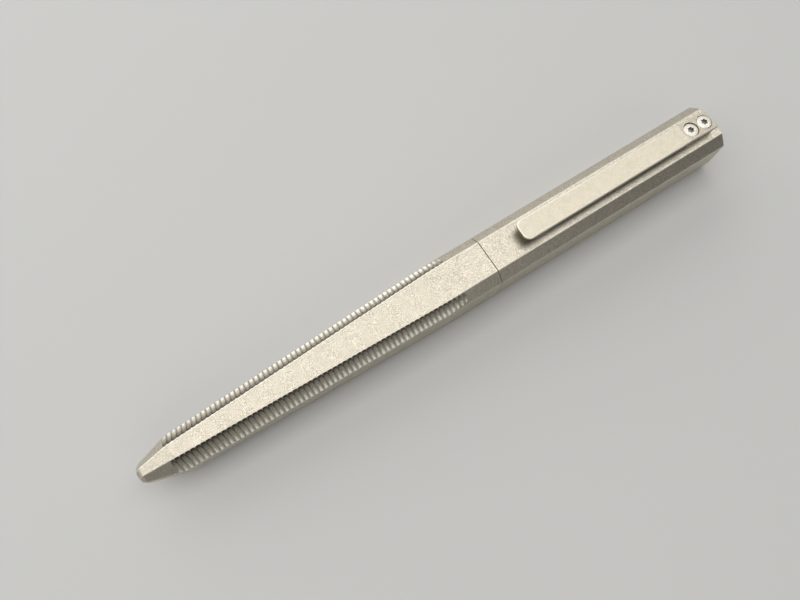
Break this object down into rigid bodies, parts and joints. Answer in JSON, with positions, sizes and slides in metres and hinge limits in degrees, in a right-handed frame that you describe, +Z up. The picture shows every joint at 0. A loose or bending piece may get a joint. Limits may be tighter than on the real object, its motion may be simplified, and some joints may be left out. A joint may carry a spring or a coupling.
{
  "type": "twist-action ballpoint pen",
  "caption": "Metal twist-action ballpoint pen with a faceted barrel, fluted grip, pointed nose and a screwed-on pocket clip.",
  "frame": {"origin": "middle of the barrel's lower face, halfway along the pen, at the height that the pen lies on", "axes": "+X along the pen from the nose to the tail, +Z up to the clip side, Y across the facets"},
  "size_m": [0.146, 0.012, 0.0151],
  "materials": {
    "barrel_titanium": "stonewashed titanium, fine matt speckle, bright worn edges",
    "clip_titanium": "stonewashed titanium, a little warmer and smoother than the barrel",
    "screw_steel": "bright steel",
    "inner_steel": "turned, uncoated",
    "mechanism_brass": "turned, uncoated",
    "refill_metal": "plated",
    "ball_carbide": "polished",
    "refill_plastic": "moulded",
    "washer_plastic": "stamped acetal",
    "seal_rubber": "matt"
  },
  "bodies": {
    "rear": {"rear_barrel": "barrel_titanium", "pocket_clip": "clip_titanium", "clip_screw_1": "screw_steel", "clip_screw_2": "screw_steel", "cam_sleeve": "mechanism_brass", "retaining_collar": "inner_steel", "thrust_washer_1": "washer_plastic", "thrust_washer_2": "washer_plastic"},
    "front": {"front_barrel": "barrel_titanium", "coupling": "inner_steel", "guide_tube": "inner_steel", "friction_ring": "seal_rubber", "thread_seal_ring": "seal_rubber", "return_spring": "inner_steel"},
    "refill": {"follower": "mechanism_brass", "follower_pin": "inner_steel", "refill_pad": "seal_rubber", "refill_tip": "refill_metal", "writing_ball": "ball_carbide", "refill_tube": "refill_metal", "refill_cap": "refill_plastic"}
  },
  "joints": [
    {"name": "barrel_twist", "type": "hinge", "parent": "rear", "child": "front", "pos_m": [0, 0, 0.00605], "axis": [1, 0, 0], "range_deg": [0, 180]},
    {"name": "refill_slide", "type": "slide", "parent": "front", "child": "refill", "axis": [-1, 0, 0], "range_m": [0, 0.0052], "deforming": ["return_spring"]}
  ],
  "couplings": [
    {"joint": "refill_slide", "follows": "barrel_twist", "m_per_rad": 0.0016552}
  ]
}
